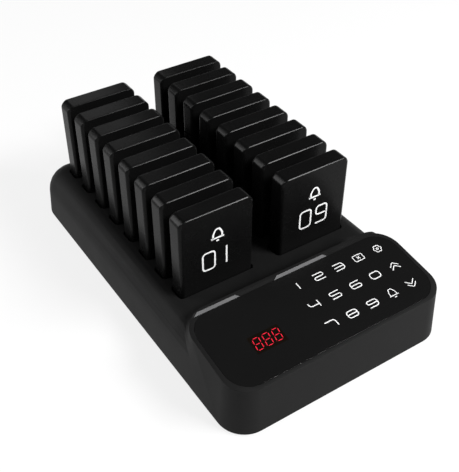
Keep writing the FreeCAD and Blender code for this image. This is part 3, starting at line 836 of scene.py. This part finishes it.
@dataclass
class Pager:
    """One guest pager: front cover, rear case, contacts and its printed number. Sizes in metres."""

    number: int
    corner: float = 5.5 * MM
    corner_steps: int = 12
    corner_flat: float = 0.055          # share that a corner is flattened at its middle
    top_edge: float = 0.5 * MM          # front edge's radius along the top and bottom
    side_edge: float = 2.6 * MM         # and along both sides
    side_from: float = 0.55             # cosine to the side at which it starts to widen
    ease: float = 0.08 * MM             # flat strip beside a rounding, so that it shades cleanly
    edge_steps: int = 6
    back_radius: float = 2.0 * MM
    seam_depth: float = 0.3 * MM
    seam_width: float = 0.12 * MM
    contact: Point = (5.2 * MM, 2.2 * MM)
    contact_spacing: float = 20.0 * MM
    contact_depth: float = 0.5 * MM     # of its opening in the case
    plate: Point = (-0.25 * MM, 0.375 * MM)    # its plate's foot and top, from the pager's foot
    digit_width: float = 9.5 * MM
    digit_height: float = 15.0 * MM
    digit_pitch: float = 14.0 * MM
    stroke: float = 1.3 * MM
    bend: float = 2.6 * MM
    bell_size: float = 10.0 * MM
    print_middle: float = 36.0 * MM     # below the pager's top

    def edge_radius(self, sideways: float) -> float:
        """Radius of the front edge where the outline faces this much to the side."""
        blend = max(0.0, min(1.0, (sideways - self.side_from) / (1 - self.side_from)))
        return self.top_edge + (self.side_edge - self.top_edge) * blend * blend * (3 - 2 * blend)

    def loop(self, low: Vector, high: Vector, rule: Callable[[float], Point]) -> list[Place]:
        """One loop of points round the pager.

        Args:
            low: the pager's lowest corner.
            high: its highest corner.
            rule: gives inset and depth for an edge radius.

        Returns:
            The loop.
        """
        half_w, half_h = (high.x - low.x) / 2, (high.z - low.z) / 2
        middle_x, middle_z = (low.x + high.x) / 2, (low.z + high.z) / 2
        points = []
        for start, (side, end) in enumerate(QUARTERS):
            for step in range(self.corner_steps + 1):
                angle = math.pi / 2 * (start + step / self.corner_steps)
                u, v = math.cos(angle), math.sin(angle)
                inset, depth = rule(self.edge_radius(abs(u)))
                reach = self.corner * (1 - self.corner_flat * math.sin(2 * angle) ** 2) - inset
                points.append((middle_x + side * (half_w - self.corner) + reach * u, low.y + depth,
                               middle_z + end * (half_h - self.corner) + reach * v))
        return points

    def front_profile(self, depth: float, radius: float) -> Point:
        """Inset of the front edge at a depth, with that depth: a crisp bevel on top, round at the sides."""
        bulge = 1 + (radius - self.top_edge) / (self.side_edge - self.top_edge)
        left = max(0.0, 1 - depth / radius)
        return radius * (1 - (1 - left ** bulge) ** (1 / bulge)), depth

    def cover_rules(self, seam: float) -> list[Callable[[float], Point]]:
        """Loops of the front cover, down to its seam."""
        rules = [lambda radius: (radius + self.ease, 0.0)]
        for step in range(self.edge_steps + 1):
            share = step / self.edge_steps
            rules.append(lambda radius, share=share: self.front_profile(
                radius * (1 - math.cos(share * math.acos(1 - min(radius, seam) / radius))), radius))
        edge = seam - self.seam_width / 2
        rules.insert(-1, lambda radius: self.front_profile(min(radius + self.ease, edge - self.ease), radius))
        rules[-1] = lambda radius: self.front_profile(edge, radius)
        rules.append(lambda radius: (self.front_profile(edge, radius)[0] + self.seam_depth, edge))
        return rules

    def case_rules(self, seam: float, thick: float) -> list[Callable[[float], Point]]:
        """Loops of the rear case, from its seam to its back."""
        edge = seam + self.seam_width / 2
        rules = [lambda radius: (self.front_profile(edge, radius)[0] + self.seam_depth, edge)]
        for step in range(self.edge_steps + 1):
            depth = edge + (self.side_edge + self.ease - edge) * step / self.edge_steps
            rules.append(lambda radius, depth=depth: self.front_profile(depth, radius))
        rules.append(lambda radius: (0.0, thick - self.back_radius - self.ease))
        for step in range(self.edge_steps + 1):
            angle = math.pi / 2 * step / self.edge_steps
            inset = self.back_radius * (1 - math.cos(angle))
            depth = thick - self.back_radius * (1 - math.sin(angle))
            rules.append(lambda radius, inset=inset, depth=depth: (inset, depth))
        rules.append(lambda radius: (self.back_radius + self.ease, thick))
        return rules

    def contact_blocks(self, low: Vector, high: Vector, foot: float, top: float) -> list[Mesh]:
        """A block at each contact, between two heights from the pager's foot.

        Args:
            low: the pager's lowest corner.
            high: its highest corner.
            foot: the lower height.
            top: the upper height.

        Returns:
            The two blocks.
        """
        half_w, half_d = self.contact[0] / 2, self.contact[1] / 2
        from_low, to_high = Vector((-half_w, -half_d, foot)), Vector((half_w, half_d, top))
        blocks = []
        for side in (-1, 1):
            x = (low.x + high.x) / 2 + side * self.contact_spacing / 2
            place = Vector((x, (low.y + high.y) / 2, low.z))
            blocks.append(block(place + from_low, place + to_high))
        return blocks

    def build(self) -> None:
        """Build both shells, the contacts and the print."""
        key = f"pager_{self.number:02d}"
        low, cover_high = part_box(key + "_front_cover")
        case_low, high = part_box(key + "_rear_case")
        seam, thick = case_low.y - low.y, high.y - low.y
        cover = skinned([self.loop(low, cover_high, rule) for rule in self.cover_rules(seam)], "cover")
        finished(cover, key + "_cover_shell", SATIN_ABS, key, key + "_front_cover", slot="pager_face")
        case = skinned([self.loop(low, high, rule) for rule in self.case_rules(seam, thick)], "case")
        case = carved(case, self.contact_blocks(low, high, -self.contact_depth, self.contact_depth))
        finished(case, key + "_case_shell", SATIN_ABS, key, key + "_rear_case", slot="pager_case")
        plates = to_mesh(opened(*self.contact_blocks(low, high, *self.plate)), "plates")
        finished(plates, key + "_contacts", GOLD, key, slot="contact_brass")
        self.build_print(key, low, high)

    def build_print(self, key: str, low: Vector, high: Vector) -> None:
        """Print the pager's number under a bell on its front."""
        lines: list[Line] = bell((0.0, self.digit_height), self.bell_size)
        for index, digit in enumerate(f"{self.number:02d}"):
            middle = ((index - 0.5) * self.digit_pitch, -self.bell_size / 2)
            lines += placed(DIGIT_LINES[digit], middle, self.digit_width, self.digit_height)
        face = Matrix.Translation(((low.x + high.x) / 2, low.y - PRINT_LIFT, high.z - self.print_middle))
        upright = Matrix.Rotation(math.pi / 2, 4, "X")
        finished(drawn(lines, self.stroke, self.bend, face @ upright), key + "_number", SCREEN_INK, key)


@dataclass
class Fittings:
    """Nodes that keep their own shape and get their finish, and the small round pieces. Sizes in metres."""

    body: str = "base"
    sides: int = 48
    bend_steps: int = 6
    foot_edge: float = 0.5 * MM
    foot_dish: Point = (3.2 * MM, 0.4 * MM)        # radius and depth of the hollow under a foot
    flange: float = 1.6 * MM
    stem: float = 1.0 * MM
    head: float = 1.5 * MM
    head_edge: float = 0.7 * MM
    shank: float = 1.45 * MM
    recess: Place = (2.9 * MM, 0.75 * MM, 0.9 * MM)        # span, width and depth of the cross
    socket_pin: Place = (1.03 * MM, 8.0 * MM, 9.0 * MM)    # radius, length and how deep its root lies

    def bend(self, middle: Point, radius: float, start: float) -> list[Point]:
        """Quarter of a circle in a profile, from an angle in degrees."""
        angles = [math.radians(start + 90 * step / self.bend_steps) for step in range(self.bend_steps + 1)]
        return [(middle[0] + radius * math.cos(a), middle[1] + radius * math.sin(a)) for a in angles]

    def foot(self, radius: float, height: float) -> list[Point]:
        """Profile of a foot with an eased rim and a shallow hollow."""
        wide, deep = self.foot_dish
        rim = self.bend((radius - self.foot_edge, self.foot_edge), self.foot_edge, -90)
        return [(0, deep), (wide, deep), (wide + deep, 0), *rim, (radius, height), (0, height)]

    def pin(self, radius: float, height: float) -> list[Point]:
        """Profile of a charging pin with a flange and a round tip."""
        tip = self.bend((0, height - self.stem), self.stem, 0)
        return [(0, 0), (radius, 0), (radius, self.flange), (self.stem, self.flange), *tip]

    def screw(self, radius: float, height: float) -> list[Point]:
        """Profile of a pan-head screw, head down."""
        rim = self.bend((radius - self.head_edge, self.head_edge), self.head_edge, -90)
        return [(0, 0), *rim, (radius, self.head), (self.shank, self.head), (self.shank, height - self.shank),
                (0, height)]

    def cross(self, place: Vector) -> Mesh:
        """Tool that cuts a screw's cross recess from below."""
        span, width, depth = self.recess
        arm, half = span / 2, width / 2
        corners = [(half, half), (half, arm), (-half, arm), (-half, half), (-arm, half), (-arm, -half),
                   (-half, -half), (-half, -arm), (half, -arm), (half, -half), (arm, -half), (arm, half)]
        return skinned([[(place.x + x, place.y + y, place.z + z) for x, y in corners]
                        for z in (-depth, depth)], "cross")

    def turned(self, profile: Sequence[Point], places: Sequence[Vector], finish: Finish,
               place: Matrix) -> Mesh:
        """Lathe a profile and lay it on places.

        Args:
            profile: radius and height of each corner, from the foot up.
            places: where the foot's middle goes.
            finish: what the pieces are made of.
            place: carries the pieces to the frame.

        Returns:
            One mesh with a piece on every place.
        """
        spots = points_for_tree(places)
        line = [(radius, -height) for radius, height in profile]
        values = {"Places": spots, "Sides": self.sides, "Finish": made(finish)}
        mesh = grown(lines_for_tree([(line, False)]), lathe_tree(), values, place)
        bpy.data.objects.remove(spots)
        return to_mesh(opened(mesh), "turned", outwards=True)

    def build_turned(self) -> None:
        """Feet, charging pins, screws and the socket's pin."""
        for node, name, finish, slot, rule in (
                ("rubber_feet", "feet", RUBBER, "foot_rubber", self.foot),
                ("charging_pins", "charging_pin_set", GOLD, "contact_brass", self.pin),
                ("case_screws", "screws", ZINC, "screw_steel", self.screw)):
            boxes = solids(node)
            low, high = boxes[0]
            places = [Vector(((a.x + b.x) / 2, (a.y + b.y) / 2, a.z)) for a, b in boxes]
            mesh = self.turned(rule((high.x - low.x) / 2, high.z - low.z), places, finish, Matrix())
            if node == "case_screws":
                mesh = carved(mesh, [self.cross(place) for place in places])
            finished(mesh, name, finish, self.body, node, slot=slot)
        low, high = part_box("power_inlet")
        radius, length, root = self.socket_pin
        seat = Matrix.Translation(((low.x + high.x) / 2, high.y - root, (low.z + high.z) / 2))
        profile = [(0, 0), (radius, 0), *self.bend((0, length - radius), radius, 0)]
        finished(self.turned(profile, [Vector()], TIN, seat @ Matrix.Rotation(-math.pi / 2, 4, "X")),
                 "power_socket_pin", TIN, self.body)

    def build(self) -> None:
        """Dress the nodes and turn the round pieces."""
        finishes = {"bottom_cover": MATT_ABS, "display_module": SMOKED_WINDOW, "transmitter_module": TIN,
                    "power_inlet": NYLON}
        boards = ["touch_sensor_board", "main_board", "charging_boards"]
        boards += [f"pager_{number:02d}_electronics" for number in range(1, PAGERS + 1)]
        finishes |= dict.fromkeys(boards, SOLDER_MASK)
        for node, finish in finishes.items():
            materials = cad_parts[node].data.materials
            materials.clear()
            materials.append(made(finish))
            LOG.info("%s: dressed in %s", node, finish.name)
        self.build_turned()


# ---------------------------------------------------------------- studio
@dataclass(frozen=True)
class Softbox:
    """A flat lamp that faces the object. Distances in metres; radiance is 1 for white."""

    name: str
    towards: Place
    distance: float
    width: float
    height: float
    radiance: float

    def build(self, middle: Vector) -> None:
        """Hang the lamp."""
        data = bpy.data.lights.new(self.name, "AREA")
        data.shape = "RECTANGLE"
        data.size, data.size_y = self.width, self.height
        data.energy = self.radiance * math.pi * self.width * self.height
        lamp = into_scene(self.name, data)
        away = Vector(self.towards).normalized()
        lamp.location = middle + self.distance * away
        lamp.rotation_euler = away.to_track_quat("Z", "Y").to_euler()
        lamp.visible_camera = False


@dataclass
class Studio:
    """Pale floor, pale horizon under a dark ceiling, and soft lamps."""

    pale: str = "#f5f5f5"
    floor_size: float = 14.0
    floor_drop: float = 0.02 * MM   # keeps the floor's face clear of the feet's
    ambient: float = 0.4
    ceiling: float = 0.03
    pale_up_to: float = 0.04        # sine of the elevation where the pale backdrop begins to fade
    dark_from: float = 0.24         # and where the ceiling is fully dark
    floor_glow: float = 0.88        # share of the floor that is pale by itself
    boxes: tuple[Softbox, ...] = (
        Softbox("front softbox", (0.43, -0.60, 0.67), 1.4, 0.6, 0.35, 64.0),
        Softbox("back left softbox", (-0.74, 0.58, 0.44), 1.4, 0.5, 0.9, 9.0),
        Softbox("back softbox", (0.20, 0.82, 0.52), 1.4, 0.4, 0.3, 1.4),
    )
    place: Place = (-0.2595, -0.39895, 0.4295)     # of the camera
    turn_deg: Place = (49.643, -0.139, -33.321)
    lens: float = 62.8
    sensor: float = 36.0

    def background_rays(self, tree: NodeTree) -> NodeSocket:
        """1 for rays that see the background: from the camera, a gloss or a clear piece."""
        path = add_node(tree, "ShaderNodeLightPath")
        seen = add_node(tree, "ShaderNodeMath", {"operation": "MAXIMUM"},
                        links={0: path.outputs["Is Camera Ray"], 1: path.outputs["Is Glossy Ray"]})
        return add_node(tree, "ShaderNodeMath", {"operation": "MAXIMUM"},
                        links={0: seen.outputs[0], 1: path.outputs["Is Transmission Ray"]}).outputs[0]

    def build_world(self) -> None:
        """Even ambient light, with a pale backdrop that darkens overhead."""
        world = bpy.data.worlds.new("studio")
        bpy.context.scene.world = world
        world.use_nodes = True
        tree = world.node_tree
        tree.nodes.clear()
        direction = add_node(tree, "ShaderNodeTexCoord").outputs["Generated"]
        height = add_node(tree, "ShaderNodeSeparateXYZ", links={0: direction}).outputs["Z"]
        level = add_node(tree, "ShaderNodeMapRange", {"interpolation_type": "SMOOTHSTEP"},
                         {"From Min": self.pale_up_to, "From Max": self.dark_from, "To Min": 1.0,
                          "To Max": self.ceiling}, {"Value": height})
        backdrop = add_node(tree, "ShaderNodeBackground", values={"Color": linear(self.pale)},
                            links={"Strength": level.outputs[0]})
        ambient = add_node(tree, "ShaderNodeBackground",
                           values={"Color": (1, 1, 1, 1), "Strength": self.ambient})
        mix = add_node(tree, "ShaderNodeMixShader",
                       links={0: self.background_rays(tree), 1: ambient.outputs[0], 2: backdrop.outputs[0]})
        tree.links.new(mix.outputs[0], tree.nodes.new("ShaderNodeOutputWorld").inputs[0])

    def build_floor(self) -> None:
        """Pale floor that still takes the object's shadow, and is clear from below."""
        material, tree, output = new_material("pale studio floor")
        matt = add_node(tree, "ShaderNodeBsdfDiffuse", values={"Color": linear(self.pale)})
        pale = add_node(tree, "ShaderNodeEmission", values={"Color": linear(self.pale)})
        share = add_node(tree, "ShaderNodeMath", {"operation": "MULTIPLY"}, {1: self.floor_glow},
                         {0: self.background_rays(tree)})
        mix = add_node(tree, "ShaderNodeMixShader",
                       links={0: share.outputs[0], 1: matt.outputs[0], 2: pale.outputs[0]})
        below = add_node(tree, "ShaderNodeNewGeometry").outputs["Backfacing"]
        clear = add_node(tree, "ShaderNodeBsdfTransparent")
        sided = add_node(tree, "ShaderNodeMixShader",
                         links={0: below, 1: mix.outputs[0], 2: clear.outputs[0]})
        tree.links.new(sided.outputs[0], output.inputs[0])
        half = self.floor_size / 2
        corners = [(-half, -half), (half, -half), (half, half), (-half, half)]
        mesh = bpy.data.meshes.new("floor")
        mesh.from_pydata([(x, y, -self.floor_drop) for x, y in corners], [], [(0, 1, 2, 3)])
        mesh.materials.append(material)
        floor = into_scene("floor", mesh)

    def build_camera(self) -> None:
        """Camera over the keypad's left front corner."""
        data = bpy.data.cameras.new("camera")
        data.sensor_fit = "VERTICAL"
        data.sensor_height = self.sensor
        data.lens = self.lens
        camera = into_scene("camera", data)
        camera.location = self.place
        camera.rotation_euler = [math.radians(angle) for angle in self.turn_deg]
        bpy.context.scene.camera = camera

    def build(self) -> None:
        """Set up the studio."""
        bpy.context.scene.view_settings.view_transform = "Standard"
        self.build_world()
        self.build_floor()
        middle = (CAD_BOX[0] + CAD_BOX[1]) / 2
        for softbox in self.boxes:
            softbox.build(middle)
        self.build_camera()


def main() -> None:
    """Build everything in order."""
    logging.basicConfig(level=logging.INFO, format="%(message)s")
    Studio().build()
    Fittings().build()
    Housing().build()
    Keypad().build()
    for number in range(1, PAGERS + 1):
        Pager(number).build()


if __name__ == "__main__":
    main()
